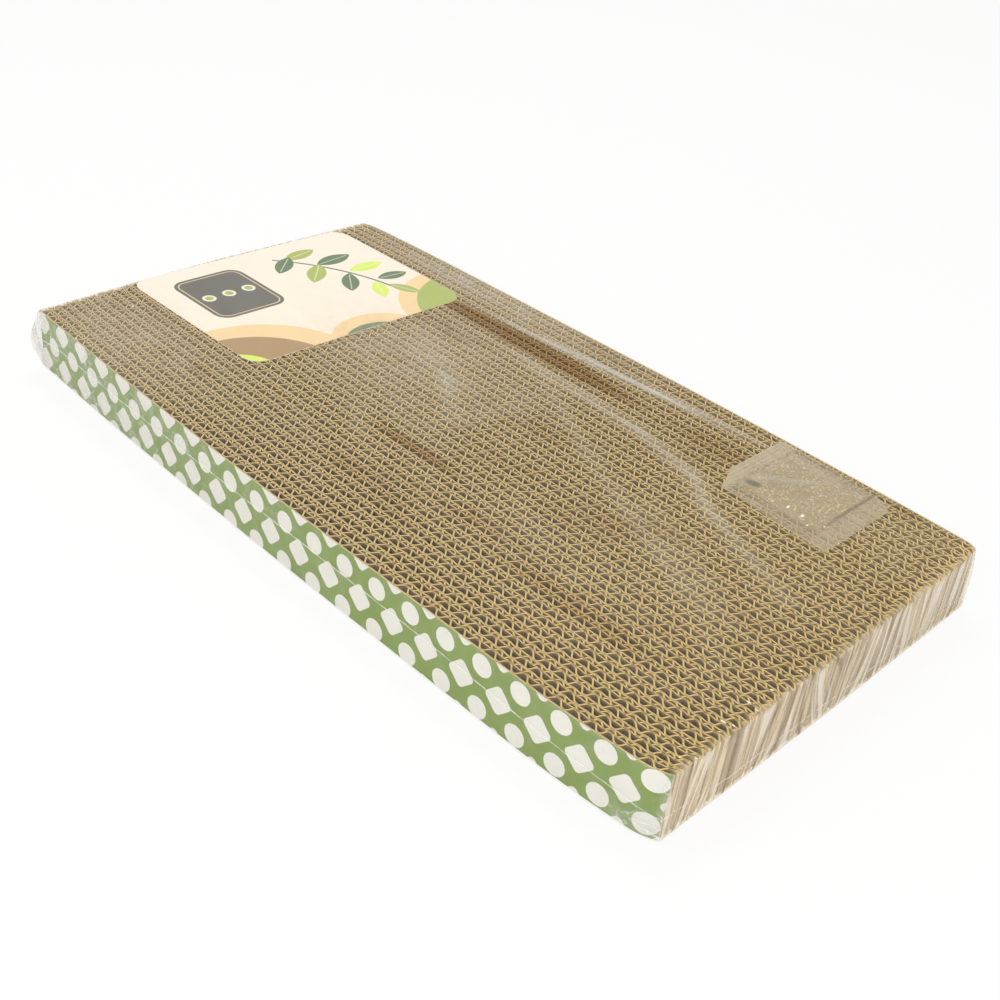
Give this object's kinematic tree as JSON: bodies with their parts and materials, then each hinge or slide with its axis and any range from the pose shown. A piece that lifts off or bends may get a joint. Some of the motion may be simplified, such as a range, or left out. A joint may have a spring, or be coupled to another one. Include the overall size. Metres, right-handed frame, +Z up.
{
  "type": "cardboard cat scratcher",
  "caption": "Flat scratching pad of corrugated board strips on edge, with printed long sides, a label card and a catnip sachet under clear shrink film.",
  "frame": {"origin": "middle of the underside, on the surface that the pad lies on", "axes": "+X along the strips, the long way, with the label card at -X; +Z up, out of the scratching face; -Y to the front printed side"},
  "size_m": [0.4732, 0.2572, 0.0373],
  "materials": {
    "kraft_board": "raw kraft paper, matt",
    "printed_paper": "green print with off-white dots and diamonds",
    "glue": "dried white glue",
    "label_card": "printed card, satin",
    "clear_film": "clear shrink film, glossy",
    "film_weld": "welded edge of the film",
    "catnip": "ground dried leaf"
  },
  "bodies": {
    "root": {"strip_01": "kraft_board", "strip_02": "kraft_board", "strip_03": "kraft_board", "strip_04": "kraft_board", "strip_05": "kraft_board", "strip_06": "kraft_board", "strip_07": "kraft_board", "strip_08": "kraft_board", "strip_09": "kraft_board", "strip_10": "kraft_board", "strip_11": "kraft_board", "strip_12": "kraft_board", "strip_13": "kraft_board", "strip_14": "kraft_board", "strip_15": "kraft_board", "strip_16": "kraft_board", "strip_17": "kraft_board", "strip_18": "kraft_board", "strip_19": "kraft_board", "strip_20": "kraft_board", "strip_21": "kraft_board", "strip_22": "kraft_board", "strip_23": "kraft_board", "strip_24": "kraft_board", "strip_25": "kraft_board", "strip_26": "kraft_board", "strip_27": "kraft_board", "strip_28": "kraft_board", "strip_29": "kraft_board", "strip_30": "kraft_board", "strip_31": "kraft_board", "strip_32": "kraft_board", "strip_33": "kraft_board", "strip_34": "kraft_board", "strip_35": "kraft_board", "strip_36": "kraft_board", "strip_37": "kraft_board", "strip_38": "kraft_board", "strip_39": "kraft_board", "front_print_sheet": "printed_paper", "rear_print_sheet": "printed_paper", "glue_lines": "glue", "label_card": "label_card", "sachet_base_ply": "clear_film", "sachet_top_ply": "clear_film", "catnip_fill": "catnip", "film_upper": "clear_film", "film_lower": "clear_film", "film_seam": "film_weld"}
  },
  "joints": []
}
